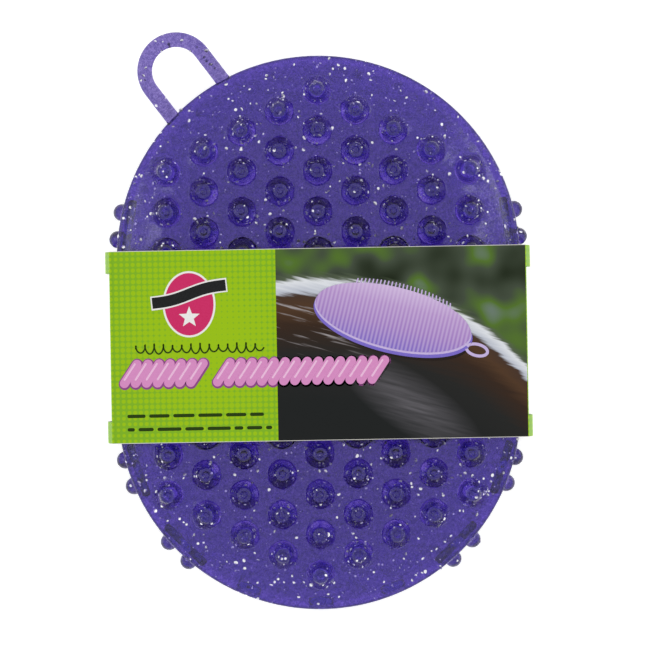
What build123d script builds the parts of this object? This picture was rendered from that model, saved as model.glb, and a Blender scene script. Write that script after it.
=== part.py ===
from build123d import *
from math import atan2, cos, degrees, hypot, radians, sin, sqrt
import os

# Two-faced jelly grooming mitt in its printed card sleeve, lying flat with the nub face up.
# +Z is up, +Y points to the wrist end that has the hang loop, +X is to the right.
# The origin is on the surface that the card sleeve rests on, under the middle of the oval.

# ---- driving dimensions, in millimetres and degrees ----
half_width = 61.4           # oval outline, to the outer edge of the flange
half_length = 83.1
end_ease = 1.0              # the end arcs' radius is this much under half the width

face_thickness = 3.0        # the plate of each face
wall_thickness = 2.6        # the wall between a plate and its flange
flange_width = 2.6          # lip that stands out round each face
flange_thickness = 2.4
shell_depth = 7.0           # from a plate's outer face to its flange's hand side
dome_round = 4.2            # round between plate and wall, outside
pocket_round = 1.5          # and inside
pocket_height = 18.0        # from plate to plate, where the hand goes

nub_column_pitch = 11.36
nub_row_pitch = 12.11
nub_edge_margin = 6.2       # no nub's centre is nearer the outline than this
nub_base_radius = 3.9
nub_tip_radius = 1.9
nub_height = 7.6
nub_tip_round = 0.7
nub_dimple_radius = 0.9
nub_dimple_depth = 0.5
nub_root = 2.8              # how far a nub reaches down into the plate

bristle_row_pitch = 3.6
bristle_row_thickness = 1.0
bristle_height = 3.6
bristle_edge_margin = 8.0
bristle_root = 0.6

web_length = 14.0           # along the outline
web_thickness = 2.4
web_inset = 1.4             # from the outline to a web's outer side
nubbed_web_bearings = (28.6, -36.1, -56.9)   # seen from the oval's middle, right-hand side
plain_web_bearings = (7.4, -15.6)
side_nub_radius = 2.6
side_nub_pitch = 8.2
side_nub_reach = 2.7        # how far a side nub stands out past the outline
finger_link_bearings = (-74.1, -90.0, -105.9)
finger_link_length = 5.0

loop_place = 126.9          # where it leaves the wrist-end arc
loop_lean = 127.0           # the way it points
loop_leg_length = 9.8       # outline to the middle of its round end
loop_inner_radius = 7.2
loop_band = 4.5
loop_thickness = 2.4
loop_root_gap = 0.3         # between the flange and the loop's rounded root

card_thickness = 0.45
card_slip = 0.3             # between the card and what it is round, above and below
sleeve_half_width = 62.2    # at the folds
sleeve_length = 57.5        # along the mitt
sleeve_offset = -3.5        # its middle, from the oval's middle
sleeve_askew = 0.5          # pushed on a little crooked
sleeve_bulge = 1.6          # how far its sides bow out
side_strip_length = 6.6     # card left at each end of a die-cut side window
glue_flap_width = 14.0
glue_flap_place = 24.0      # middle of the flap, from the sleeve's middle

# ---- heights that follow from them ----
bristle_tip_z = 2 * card_thickness + card_slip
bristle_plate_z = bristle_tip_z + bristle_height
pocket_floor_z = bristle_plate_z + face_thickness
pocket_ceiling_z = pocket_floor_z + pocket_height
nub_plate_z = pocket_ceiling_z + face_thickness
nub_tip_z = nub_plate_z + nub_height
bristle_rim_z = bristle_plate_z + shell_depth
nub_rim_z = nub_plate_z - shell_depth
sleeve_top_z = nub_tip_z + card_slip + card_thickness


class Oval:
    """A four-centred oval, drawn in from the outline by the same distance all round."""

    def __init__(self, inset=0.0):
        self.a = half_width - inset
        self.b = half_length - inset
        self.end_radius = self.a - end_ease
        self.end_y = self.b - self.end_radius
        self.side_radius = (self.a ** 2 + self.end_y ** 2 - self.end_radius ** 2) / (2 * end_ease)
        self.side_x = self.a - self.side_radius

    def join(self):
        """Where the end arc meets the side arc, in the first quarter."""
        x, y = -self.side_x, self.end_y
        run = hypot(x, y)
        return self.end_radius * x / run, self.end_y + self.end_radius * y / run

    def holds(self, x, y):
        """Whether a point lies inside."""
        x, y = abs(x), abs(y)
        in_end = (y - self.end_y) * -self.side_x > x * self.end_y
        if in_end:
            return hypot(x, y - self.end_y) <= self.end_radius
        return hypot(x - self.side_x, y) <= self.side_radius

    def point(self, bearing):
        """The point of the outline that is seen from the middle at a bearing, and its outward normal."""
        dx, dy = cos(radians(bearing)), sin(radians(bearing))
        corner = self.join()
        sx = 1 if dx >= 0 else -1
        sy = 1 if dy >= 0 else -1
        if abs(dy) * corner[0] > abs(dx) * corner[1]:
            centre, radius = (0.0, sy * self.end_y), self.end_radius
        else:
            centre, radius = (sx * self.side_x, 0.0), self.side_radius
        along = dx * centre[0] + dy * centre[1]
        reach = along + sqrt(along ** 2 - centre[0] ** 2 - centre[1] ** 2 + radius ** 2)
        x, y = dx * reach, dy * reach
        return (x, y), ((x - centre[0]) / radius, (y - centre[1]) / radius)

    def half_chord(self, y):
        """Half of the oval's width at a height y, or 0 outside."""
        y = abs(y)
        if y >= self.b:
            return 0.0
        if y > self.join()[1]:
            return sqrt(self.end_radius ** 2 - (y - self.end_y) ** 2)
        return self.side_x + sqrt(self.side_radius ** 2 - y ** 2)

    def face(self):
        x, y = self.join()
        with BuildSketch() as sketch:
            with BuildLine():
                ThreePointArc((-x, y), (0, self.b), (x, y))
                ThreePointArc((x, y), (self.a, 0), (x, -y))
                ThreePointArc((x, -y), (0, -self.b), (-x, -y))
                ThreePointArc((-x, -y), (-self.a, 0), (-x, y))
            make_face()
        return sketch.sketch


def slab(inset, low, high):
    """An upright oval slab between two heights."""
    return Pos(0, 0, low) * extrude(Oval(inset).face(), high - low)


def shell(outer_z, way):
    """One face of the mitt: plate, rounded wall and flange. way is 1 for the upper face, -1 for the lower."""
    rim_z = outer_z - way * shell_depth
    flange_z = rim_z + way * flange_thickness
    plate_z = outer_z - way * face_thickness
    dome = slab(flange_width, min(rim_z, outer_z), max(rim_z, outer_z))
    outer_edges = dome.edges().filter_by_position(Axis.Z, outer_z - 0.01, outer_z + 0.01)
    dome = fillet(outer_edges, min(dome_round, shell_depth - flange_thickness - 0.2))
    flange = slab(0.0, min(rim_z, flange_z), max(rim_z, flange_z))
    hollow = slab(flange_width + wall_thickness, min(rim_z, plate_z), max(rim_z, plate_z))
    inner_edges = hollow.edges().filter_by_position(Axis.Z, plate_z - 0.01, plate_z + 0.01)
    hollow = fillet(inner_edges, pocket_round)
    return dome + flange - hollow


def nub_places():
    """Columns along the mitt, every other one shifted by half a row."""
    field = Oval(nub_edge_margin)
    columns = int(field.a / nub_column_pitch)
    rows = int(field.b / nub_row_pitch) + 1
    for column in range(-columns, columns + 1):
        shift = 0.5 if column % 2 else 0.0
        for row in range(-rows - 1, rows + 1):
            x = column * nub_column_pitch
            y = (row + shift) * nub_row_pitch
            if field.holds(x, y):
                yield x, y


def nub():
    """A soft cone with a rounded, dimpled tip. Its base is at z = 0."""
    cone = Pos(0, 0, -nub_root / 2) * Cylinder(nub_base_radius, nub_root)
    taper = Pos(0, 0, nub_height / 2) * Cone(nub_base_radius, nub_tip_radius, nub_height)
    tip_edge = taper.edges().sort_by(Axis.Z)[-1]
    taper = fillet(tip_edge, nub_tip_round)
    dimple = Pos(0, 0, nub_height) * Cylinder(nub_dimple_radius, 2 * nub_dimple_depth)
    return cone + taper - dimple


def nub_face():
    face = shell(nub_plate_z, 1)
    one = nub()
    nubs = [Pos(x, y, nub_plate_z) * one for x, y in nub_places()]
    print("nubs:", len(nubs))
    return face.fuse(*nubs)


def bristle_face():
    """The other face carries close cross rows of short bristles, each row modelled as one low comb."""
    face = shell(bristle_plate_z, -1)
    field = Oval(bristle_edge_margin)
    rows = int(field.b / bristle_row_pitch)
    combs = []
    for row in range(-rows, rows + 1):
        y = row * bristle_row_pitch
        half = field.half_chord(y)
        if half < 2 * bristle_row_pitch:
            continue
        height = bristle_height + bristle_root
        comb = Box(2 * half, bristle_row_thickness, height)
        combs.append(Pos(0, y, bristle_tip_z + height / 2) * comb)
    print("bristle rows:", len(combs))
    return face.fuse(*combs)


def side_nub():
    """A round-ended stub that points along +X from the web's outer side at x = 0."""
    length = web_inset + side_nub_reach - side_nub_radius
    root = web_thickness / 2
    stem = Pos((length - root) / 2, 0, 0) * Rot(0, 90, 0) * Cylinder(side_nub_radius, length + root)
    return stem + Pos(length, 0, 0) * Sphere(side_nub_radius)


def strap(bearing, length, nubbed):
    """A web between the two flanges at a bearing, with or without its pair of side nubs."""
    (x, y), (nx, ny) = Oval().point(bearing)
    middle_z = (bristle_rim_z + nub_rim_z) / 2
    height = nub_rim_z - bristle_rim_z
    body = Pos(-web_thickness / 2, 0, 0) * Box(web_thickness, length, height)
    if nubbed:
        for side in (-1, 1):
            body += Pos(0, side * side_nub_pitch / 2, 0) * side_nub()
    place = Pos(x - nx * web_inset, y - ny * web_inset, middle_z)
    return place * Rot(0, 0, degrees(atan2(ny, nx))) * body


def side_webs(side):
    """All the webs of one side: 1 is the right-hand side, -1 the left."""
    webs = []
    for bearings, nubbed in ((nubbed_web_bearings, True), (plain_web_bearings, False)):
        for bearing in bearings:
            webs.append(strap(bearing if side > 0 else 180 - bearing, web_length, nubbed))
    return Compound(webs)


def finger_links():
    return Compound([strap(bearing, finger_link_length, False) for bearing in finger_link_bearings])


def loop_root():
    """The loop's root point on the outline."""
    oval = Oval()
    angle = radians(loop_place)
    return oval.end_radius * cos(angle), oval.end_y + oval.end_radius * sin(angle)


def loop_hinge_out():
    """How far outside the outline the loop bends."""
    return loop_root_gap + loop_thickness / 2


def hang_loop():
    """A flat U of jelly on the upper flange. Drawn with its axis along +X, then turned into place."""
    inner, outer = loop_inner_radius, loop_inner_radius + loop_band
    start, far = loop_hinge_out(), loop_leg_length
    with BuildSketch() as outline:
        with BuildLine():
            Line((start, -outer), (far, -outer))
            ThreePointArc((far, -outer), (far + outer, 0), (far, outer))
            Line((far, outer), (start, outer))
            Line((start, outer), (start, inner))
            Line((start, inner), (far, inner))
            ThreePointArc((far, inner), (far + inner, 0), (far, -inner))
            Line((far, -inner), (start, -inner))
            Line((start, -inner), (start, -outer))
        make_face()
    body = Pos(0, 0, -loop_thickness / 2) * extrude(outline.sketch, loop_thickness)
    for side in (-1, 1):
        middle = side * (inner + outer) / 2
        body += Pos(start, middle, 0) * Rot(90, 0, 0) * Cylinder(loop_thickness / 2, loop_band)
    x, y = loop_root()
    z = nub_rim_z + flange_thickness / 2
    return Pos(x, y, z) * Rot(0, 0, loop_lean) * body


def in_sleeve_place(shape):
    return Pos(0, sleeve_offset, 0) * Rot(0, 0, sleeve_askew) * shape


def sleeve_panel(low_z):
    panel = Box(2 * sleeve_half_width, sleeve_length, card_thickness)
    return in_sleeve_place(Pos(0, 0, low_z + card_thickness / 2) * panel)


def sleeve_strips(side):
    """The card left at the two ends of one side, bowed out between its folds."""
    low, high = card_thickness, sleeve_top_z - card_thickness
    middle = (low + high) / 2
    edge = sleeve_half_width
    inner = edge - card_thickness
    with BuildSketch(Plane.XZ) as section:
        with BuildLine():
            ThreePointArc((edge, low), (edge + sleeve_bulge, middle), (edge, high))
            Line((edge, high), (inner, high))
            ThreePointArc((inner, high), (inner + sleeve_bulge, middle), (inner, low))
            Line((inner, low), (edge, low))
        make_face()
    strip = extrude(section.sketch, side_strip_length)
    strips = []
    for end in (-1, 1):
        start = end * sleeve_length / 2
        shift = side_strip_length if end < 0 else 0.0
        piece = Pos(0, start + shift, 0) * strip
        if side < 0:
            piece = mirror(piece, Plane.YZ)
        strips.append(in_sleeve_place(piece))
    return Compound(strips)


def glue_flap():
    flap = Box(glue_flap_width, sleeve_length, card_thickness)
    return in_sleeve_place(Pos(glue_flap_place, 0, 1.5 * card_thickness) * flap)


nodes = {
    "nub_face": nub_face(),
    "bristle_face": bristle_face(),
    "left_webs": side_webs(-1),
    "right_webs": side_webs(1),
    "finger_links": finger_links(),
    "hang_loop": hang_loop(),
    "sleeve_front_panel": sleeve_panel(sleeve_top_z - card_thickness),
    "sleeve_back_panel": sleeve_panel(0.0),
    "sleeve_left_strips": sleeve_strips(-1),
    "sleeve_right_strips": sleeve_strips(1),
    "sleeve_glue_flap": glue_flap(),
}

os.makedirs("parts", exist_ok=True)
for name, shape in nodes.items():
    export_step(shape, f"parts/{name}.step")
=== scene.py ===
# %% [markdown]
# # A soft vinyl grooming mitt in its card sleeve
# The real thing is one moulding of clear purple vinyl with glitter in it: a face of soft cones, a
# face of fine bristles, straps that hold the two faces apart for a hand, and a loop to hang it by.
# It is sold with a printed card band round its middle.
# We could draw each part with plain shapes and modifiers, but moulded vinyl has no sharp corners and
# lets light through, so every part here is a closed mesh with rounded sections, made ring by ring.

# %% Load the fixed frame
import random
from functools import partial
from math import atan2, ceil, copysign, cos, hypot, pi, radians, sin, sqrt

import bpy
import bmesh
from mathutils import Matrix, Vector
from mathutils.geometry import delaunay_2d_cdt


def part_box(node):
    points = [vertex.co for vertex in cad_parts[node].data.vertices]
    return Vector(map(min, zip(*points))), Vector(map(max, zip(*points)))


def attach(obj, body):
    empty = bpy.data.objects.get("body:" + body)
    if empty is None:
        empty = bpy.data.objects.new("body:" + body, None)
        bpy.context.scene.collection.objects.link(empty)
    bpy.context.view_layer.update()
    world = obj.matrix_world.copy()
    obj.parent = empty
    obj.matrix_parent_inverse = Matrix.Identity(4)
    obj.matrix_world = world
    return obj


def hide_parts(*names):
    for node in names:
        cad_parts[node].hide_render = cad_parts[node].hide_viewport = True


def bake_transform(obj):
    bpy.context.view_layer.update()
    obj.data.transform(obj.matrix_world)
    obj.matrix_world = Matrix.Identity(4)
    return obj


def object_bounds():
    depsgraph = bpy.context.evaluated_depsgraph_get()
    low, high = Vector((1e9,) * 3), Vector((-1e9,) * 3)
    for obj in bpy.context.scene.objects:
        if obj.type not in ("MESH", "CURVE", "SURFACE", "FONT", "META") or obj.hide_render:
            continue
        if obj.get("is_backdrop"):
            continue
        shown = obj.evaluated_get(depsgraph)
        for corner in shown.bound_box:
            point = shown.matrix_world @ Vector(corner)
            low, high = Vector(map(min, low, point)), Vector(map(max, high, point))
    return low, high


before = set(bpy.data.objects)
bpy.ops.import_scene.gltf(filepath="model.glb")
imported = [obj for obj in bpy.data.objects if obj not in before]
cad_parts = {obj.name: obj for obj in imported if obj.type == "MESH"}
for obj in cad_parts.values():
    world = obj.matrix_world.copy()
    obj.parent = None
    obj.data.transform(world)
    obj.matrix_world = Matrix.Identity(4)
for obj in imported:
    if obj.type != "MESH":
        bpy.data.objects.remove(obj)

MM = 0.001
cad_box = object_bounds()
print("nodes:", sorted(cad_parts))

# %% [markdown]
# ## The camera and the light come first
# A picture for a shop is taken straight from above with a long lens, so that near and far parts
# keep the same size. A camera three metres up, with a narrow angle of view, gives that flat look.
# The mitt lies turned by under half a degree, so the camera is rolled by the same angle.

# %% Camera
scene = bpy.context.scene
VIEW_WIDTH = 193.5 * MM
CAMERA_HEIGHT = 3.0
CAMERA_ROLL = radians(-0.5)
VIEW_CENTRE = Vector((1.1 * MM, 2.97 * MM))
FOCUS_HEIGHT = 24 * MM
LENS_REACH = 20.0

camera_data = bpy.data.cameras.new("camera")
camera_data.sensor_width = 36
camera_data.angle = 2 * atan2(VIEW_WIDTH / 2, CAMERA_HEIGHT - FOCUS_HEIGHT)
camera_data.clip_end = LENS_REACH
camera = bpy.data.objects.new("camera", camera_data)
camera.location = (VIEW_CENTRE.x, VIEW_CENTRE.y, CAMERA_HEIGHT)
camera.rotation_euler = (0, 0, CAMERA_ROLL)
scene.collection.objects.link(camera)
scene.camera = camera
print(f"the lens sees {VIEW_WIDTH / MM:.0f} mm across")

# %% [markdown]
# Glossy vinyl mirrors every lamp, so it is shot in a tent of white cloth: even light from all round,
# and a soft lamp on each side that only adds a faint sheen to the shoulders. The view transform is
# Standard, so a printed colour comes out as its own hex value where the light on it adds up to one.

# %% Light and floor
scene.view_settings.view_transform = "Standard"


def linear(hex_colour, alpha=1.0):
    """An sRGB hex colour as the linear RGBA that shaders take."""
    digits = hex_colour.lstrip("#")
    channels = [int(digits[i:i + 2], 16) / 255 for i in (0, 2, 4)]
    return tuple(c / 12.92 if c <= 0.04045 else ((c + 0.055) / 1.055) ** 2.4 for c in channels) + (alpha,)


LAMP_SIZE = 0.5
TENT_STRENGTH = 0.8


def soft_lamp(name, place, power):
    """A square area lamp that looks at the middle of the mitt."""
    data = bpy.data.lights.new(name, "AREA")
    data.shape, data.size, data.energy = "SQUARE", LAMP_SIZE, power
    lamp = bpy.data.objects.new(name, data)
    lamp.location = place
    lamp.rotation_euler = (-Vector(place)).to_track_quat("-Z", "Y").to_euler()
    scene.collection.objects.link(lamp)


soft_lamp("left_softbox", place=(-0.8, 0.1, 1.0), power=1.3)
soft_lamp("right_softbox", place=(0.8, 0.35, 1.0), power=1.5)

world = bpy.data.worlds.new("light_tent")
scene.world = world
world.use_nodes = True
background = world.node_tree.nodes["Background"]
background.inputs["Color"].default_value = linear("#FFFFFF")
background.inputs["Strength"].default_value = TENT_STRENGTH

# %% [markdown]
# ## One helper for every material
# A node material is a small graph. This one function adds a node, sets its properties, and fills each
# input with a plain value or with a link from another node, so a material below reads as steps. A
# node given as a value stands for its first output, which is nearly always the one that is wanted.


# %% Node helper
def add(material, kind, inputs=None, **properties):
    """Adds a shader node; inputs maps an input's name or number to a value, a node or an output."""
    node = material.node_tree.nodes.new("ShaderNode" + kind)
    for name, value in properties.items():
        setattr(node, name, value)
    for name, value in (inputs or {}).items():
        if isinstance(value, bpy.types.Node):
            value = value.outputs[0]
        if isinstance(value, bpy.types.NodeSocket):
            material.node_tree.links.new(value, node.inputs[name])
        else:
            node.inputs[name].default_value = value
    return node


def new_material(name):
    material = bpy.data.materials.new(name)
    material.use_nodes = True
    material.node_tree.nodes.clear()
    return material


def set_ramp(node, stops):
    """Gives a colour ramp its stops, as (position, hex colour) pairs."""
    elements = node.color_ramp.elements
    while len(elements) < len(stops):
        elements.new(0.5)
    for element, (position, hex_colour) in zip(elements, stops):
        element.position, element.color = position, linear(hex_colour)


# %% [markdown]
# The floor is a shooting table: a translucent white acrylic sheet that is lit a little from below.
# That keeps the background clean, softens the shadows and sends light up through clear objects.

# %% Floor
table_acrylic = new_material("opal_acrylic_table")
table_shader = add(table_acrylic, "BsdfPrincipled", {
    "Base Color": linear("#F4F4F4"), "Roughness": 0.6, "IOR": 1.49,
    "Emission Color": linear("#FFFFFF"), "Emission Strength": 0.55,
})
add(table_acrylic, "OutputMaterial", {"Surface": table_shader})

TABLE_REACH = 8.0
TABLE_TOP = Vector((0, 0, -0.05 * MM))
table_mesh = bpy.data.meshes.new("table")
corners = [(-TABLE_REACH, -TABLE_REACH, 0), (TABLE_REACH, -TABLE_REACH, 0),
           (TABLE_REACH, TABLE_REACH, 0), (-TABLE_REACH, TABLE_REACH, 0)]
table_mesh.from_pydata([Vector(c) + TABLE_TOP for c in corners], [], [(0, 1, 2, 3)])
table_mesh.materials.append(table_acrylic)
table = bpy.data.objects.new("table", table_mesh)
scene.collection.objects.link(table)
table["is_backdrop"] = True

# %% [markdown]
# ## Vinyl
# The mitt is plasticised PVC, injected into a polished steel mould: clear, coloured right through,
# soft, and glossy like boiled sweets. Colour by depth is what the eye notices: a thin edge is pale
# lilac, and a solid cone is almost navy. Paint on the surface cannot do that, so the shader lets all
# light in and the colour comes from absorption on the way through. PVC has an IOR of 1.53. Weak flow
# marks and a ripple from the mould bend what shows through, and a fine mottle of the tint breaks it up.
# Both are finer on the real thing: they are drawn about a millimetre wide so that they show at all.

# %% Vinyl material
FLOW_MARK = 2.4 * MM
MOULD_RIPPLE = 0.8 * MM
MOTTLE = 0.9 * MM
PVC_IOR = 1.53
CLEARNESS = 0.96


def make_vinyl(name, colour, density, tints, ior=PVC_IOR):
    """Clear vinyl; density is how much light is lost per metre, colour is what is spared."""
    material = new_material(name)
    place = add(material, "TexCoord").outputs["Object"]
    flow = add(material, "TexNoise", {"Vector": place, "Scale": 1 / FLOW_MARK, "Detail": 3.0})
    ripple = add(material, "TexNoise", {"Vector": place, "Scale": 1 / MOULD_RIPPLE, "Detail": 2.0})
    relief = add(material, "Math", {0: flow, 1: ripple}, operation="ADD")
    bump = add(material, "Bump", {"Height": relief, "Strength": 0.35, "Distance": 0.25 * MM})
    mottle = add(material, "TexNoise", {
        "Vector": place, "Scale": 1 / MOTTLE, "Detail": 4.0, "Distortion": 1.2,
    })
    tint = add(material, "ValToRGB", {"Fac": mottle})
    set_ramp(tint, [(0.38, tints[0]), (0.62, tints[1])])
    shader = add(material, "BsdfPrincipled", {
        "Base Color": tint, "Normal": bump,
        "Roughness": 0.16, "IOR": ior, "Specular IOR Level": 0.25, "Transmission Weight": CLEARNESS,
    })
    depth = add(material, "VolumeAbsorption", {"Color": linear(colour), "Density": density})
    add(material, "OutputMaterial", {"Surface": shader, "Volume": depth})
    return material


# The thin loop gets a denser, darker copy of the vinyl so that it isn't pale: painted shade. The
# straps stand on edge under the upper flange, where real depth colour and a real index would print
# them as black bars on it, so theirs is a lighter copy with paler tints, thinner and bending light
# less: painted light. All three are the same plastic to the eye.
clear_tints = ("#806AC6", "#C0A8F4")
loop_tints_painted_shade = ("#7C6EBE", "#BDB0EC")
strap_tints_painted_light = ("#B4A6F0", "#CABEFA")
vinyl = make_vinyl("clear_purple_vinyl_moulded", "#783CD8", 162.0, clear_tints)
loop_vinyl_painted_shade = make_vinyl("purple_vinyl_painted_shade", "#7C4AB6", 480.0, loop_tints_painted_shade)
strap_vinyl_painted_light = make_vinyl("purple_vinyl_painted_light", "#783CD8", 24.0, strap_tints_painted_light, ior=1.15)

# %% [markdown]
# ## Glitter
# The flakes are aluminium on polyester film, die-cut into hexagons and stirred into the vinyl. Each
# one is a tiny mirror, and random tilts make some of them flash. In an even light a rough metal keeps
# enough of them lit. Flakes deep in the vinyl look violet, so those get a second foil.


# %% Glitter materials
def make_foil(name, hex_colour):
    material = new_material(name)
    shader = add(material, "BsdfPrincipled", {
        "Base Color": linear(hex_colour), "Metallic": 1.0, "Roughness": 0.5,
    })
    add(material, "OutputMaterial", {"Surface": shader})
    return material


flake_foil = make_foil("aluminised_glitter_film", "#FAFAFF")
deep_foil = make_foil("glitter_film_under_vinyl", "#A99FDC")

# %% [markdown]
# ## The outline of the mitt
# Seen from above the mitt is an oval of four arcs: two side arcs and two tighter end arcs. A parallel
# curve inside such an oval has the same four centres, so one function gives the outline, the flange,
# the wall and the hand pocket. Points are named by the direction of the outline's normal.

# %% Outline
nub_low, nub_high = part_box("nub_face")
bristle_low, bristle_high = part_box("bristle_face")
half_width, half_length = nub_high.x, nub_high.y
END_EASE = 1.0 * MM
end_radius = half_width - END_EASE
end_y = half_length - end_radius
side_radius = (half_width ** 2 + end_y ** 2 - end_radius ** 2) / (2 * END_EASE)
side_x = half_width - side_radius
join_angle = atan2(end_y, -side_x)
side_run = side_radius * join_angle
quarter_run = side_run + end_radius * (pi / 2 - join_angle)


def outline_point(angle, inset=0.0):
    """The point of the oval, drawn in by inset, where the outward normal has this angle."""
    nx, ny = cos(angle), sin(angle)
    if abs(ny) * -side_x > abs(nx) * end_y:
        cx, cy, radius = 0.0, copysign(end_y, ny), end_radius
    else:
        cx, cy, radius = copysign(side_x, -nx), 0.0, side_radius
    return Vector((cx + (radius - inset) * nx, cy + (radius - inset) * ny))


def quarter_angle(run):
    """The normal's angle at a distance along the first quarter, from the side to the end."""
    return run / side_radius if run < side_run else join_angle + (run - side_run) / end_radius


def outline_angles(count):
    """Angles of evenly spaced points right round the oval."""
    for i in range(count):
        quarter, run = divmod(4 * quarter_run * i / count, quarter_run)
        if quarter % 2:
            yield (quarter + 1) * pi / 2 - quarter_angle(quarter_run - run)
        else:
            yield quarter * pi / 2 + quarter_angle(run)


def depth_inside(x, y):
    """How far a point lies inside the outline."""
    x, y = abs(x), abs(y)
    if (y - end_y) * -side_x > x * end_y:
        return end_radius - hypot(x, y - end_y)
    return side_radius - hypot(x - side_x, y)


print(f"oval {2 * half_width / MM:.1f} by {2 * half_length / MM:.1f} mm")

# %% [markdown]
# ## The section of a face
# Both faces are the same shallow dish: a flange with a rounded edge, a wall that swells up from it,
# and a plate that is almost flat in the middle. The section is a list of rings, each with its inset
# from the outline and its height over the rim, and every ring is joined to the next with quads.

# %% Section of a face
SHELL_DEPTH = 7.0 * MM
FLANGE_THICKNESS = 2.4 * MM
FLANGE_WIDTH = 1.9 * MM
PLATE_THICKNESS = 3.0 * MM
WALL_THICKNESS = 2.4 * MM
POCKET_INSET = FLANGE_WIDTH + WALL_THICKNESS
SHOULDER_WIDTH = 15.0 * MM
EDGE_ROUND = 0.9 * MM
EDGE_STEPS = 5
SHOULDER_START, SHOULDER_TOP = 1.5, 2.6
CAP_INSETS = [i * MM for i in (1.6, 2.1, 2.6, 3.1, 3.7, 4.4, 5.2, 6.2)]
OUTLINE_POINTS = 300


def dome_height(depth):
    """Height of a face's outer surface over its rim, at a depth inside the outline."""
    share = min(max((depth - FLANGE_WIDTH) / SHOULDER_WIDTH, 0.0), 1.0)
    swell = 1 - (1 - share ** SHOULDER_START) ** SHOULDER_TOP
    return FLANGE_THICKNESS + (SHELL_DEPTH - FLANGE_THICKNESS) * swell


def pocket_height(depth):
    """The same for the surface on the hand's side, which is the outer one moved in and down."""
    share = min(max((depth - POCKET_INSET) / SHOULDER_WIDTH, 0.0), 1.0)
    moved = dome_height(depth - WALL_THICKNESS) - WALL_THICKNESS
    return moved - (PLATE_THICKNESS - WALL_THICKNESS) * share


def surface_height(depth):
    """Flange and outer surface in one."""
    return FLANGE_THICKNESS if depth < FLANGE_WIDTH else dome_height(depth)


def face_rings():
    """(inset, height) of the rings from the hand's side round the flange's edge."""
    rings = [(POCKET_INSET, 0.0), (POCKET_INSET / 2, 0.0)]
    turns = [pi / 2 * i / EDGE_STEPS for i in range(EDGE_STEPS + 1)]
    rings += [(EDGE_ROUND * (1 - sin(t)), EDGE_ROUND * (1 - cos(t))) for t in turns]
    rings += [(EDGE_ROUND * (1 - cos(t)), FLANGE_THICKNESS - EDGE_ROUND * (1 - sin(t))) for t in turns]
    rings.append((EDGE_ROUND + 0.3 * MM, FLANGE_THICKNESS))
    return rings


# %% [markdown]
# ## Filling a face between its rings and its cones
# The plate is a flat-ish sheet with a hundred round holes where the cones stand. A constrained
# Delaunay fill is the tool for that: it takes the outer ring, the circles and some free points, and
# gives well shaped triangles that keep every circle. The heights come from the section afterwards.


# %% Mesh helpers
ROW_SHARE = 0.866
CIRCLE_CLEARANCE = 0.35 * MM


def bridge(bm, first, second):
    """Quads between two closed rings of vertices."""
    count = len(first)
    for i in range(count):
        j = (i + 1) % count
        bm.faces.new((first[i], first[j], second[j], second[i]))


def add_ring(bm, points, below=None):
    """A ring of vertices, joined to the ring below it or, at the start, closed by a face."""
    ring = [bm.verts.new(point) for point in points]
    if below:
        bridge(bm, below, ring)
    else:
        bm.faces.new(ring)
    return ring


def loft(bm, rings):
    """A closed tube through rings of points."""
    below = None
    for points in rings:
        below = add_ring(bm, points, below)
    bm.faces.new(below)


def circle(sides):
    """Cosines and sines of evenly spaced angles."""
    return [(cos(2 * pi * i / sides), sin(2 * pi * i / sides)) for i in range(sides)]


def fill_cap(bm, ring, circles, height, spacing, insets=()):
    """Near-even triangles inside a ring, round circles given as (centre, radius, vertices)."""
    verts = list(ring)
    loops = [list(range(len(ring)))]
    for _, _, foot in circles:
        loops.append(list(range(len(verts), len(verts) + len(foot))))
        verts += foot
    flat = [Vector((v.co.x, v.co.y)) / MM for v in verts]
    free = [outline_point(angle, inset) for inset in insets for angle in outline_angles(len(ring))]
    edge_depth = max([depth_inside(v.co.x, v.co.y) for v in ring[:1]] + list(insets))
    step = spacing * ROW_SHARE
    rows = int(half_length / step) + 1
    columns = int(half_width / spacing) + 1
    for row in range(-rows, rows + 1):
        for column in range(-columns, columns + 1):
            point = Vector(((column + 0.5 * (row % 2)) * spacing, row * step))
            if depth_inside(point.x, point.y) > edge_depth + 0.5 * spacing:
                free.append(point)
    for point in free:
        if all((point - centre).length > radius + CIRCLE_CLEARANCE for centre, radius, _ in circles):
            flat.append(point / MM)
            verts.append(bm.verts.new((point.x, point.y, height(point.x, point.y))))
    edges = [(loop[i], loop[(i + 1) % len(loop)]) for loop in loops for i in range(len(loop))]
    _, _, triangles, origins, _, _ = delaunay_2d_cdt(flat, edges, [], 0, 1e-6)
    circle_of = {}
    for number, loop in enumerate(loops[1:]):
        for i in loop:
            circle_of[i] = number
    for triangle in triangles:
        corners = [origins[i][0] for i in triangle]
        circles_met = {circle_of.get(c, -1) for c in corners}
        if len(circles_met) == 1 and -1 not in circles_met:
            continue
        bm.faces.new([verts[c] for c in corners])


def finish_piece(bm, name, material, smooth=True):
    """Turns a bmesh into an object with outward faces and smooth shading."""
    bmesh.ops.recalc_face_normals(bm, faces=bm.faces)
    mesh = bpy.data.meshes.new(name)
    bm.to_mesh(mesh)
    bm.free()
    mesh.polygons.foreach_set("use_smooth", [smooth] * len(mesh.polygons))
    mesh.materials.append(material)
    piece = bpy.data.objects.new(name, mesh)
    scene.collection.objects.link(piece)
    print(f"{name}: {len(mesh.vertices)} vertices, {len(mesh.polygons)} faces")
    return piece


# %% [markdown]
# ## The cones
# A massage cone is turned, in effect: rings of a few radii and heights round one axis. It flares into
# the plate, tapers, has a rounded lip and a small dimple in its tip. Soft cones never stand quite
# alike, so each gets a little lean and a little more or less height. Its foot hugs the domed plate,
# and higher up its rings turn level. Pairs in the section are radius and height in millimetres.

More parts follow.
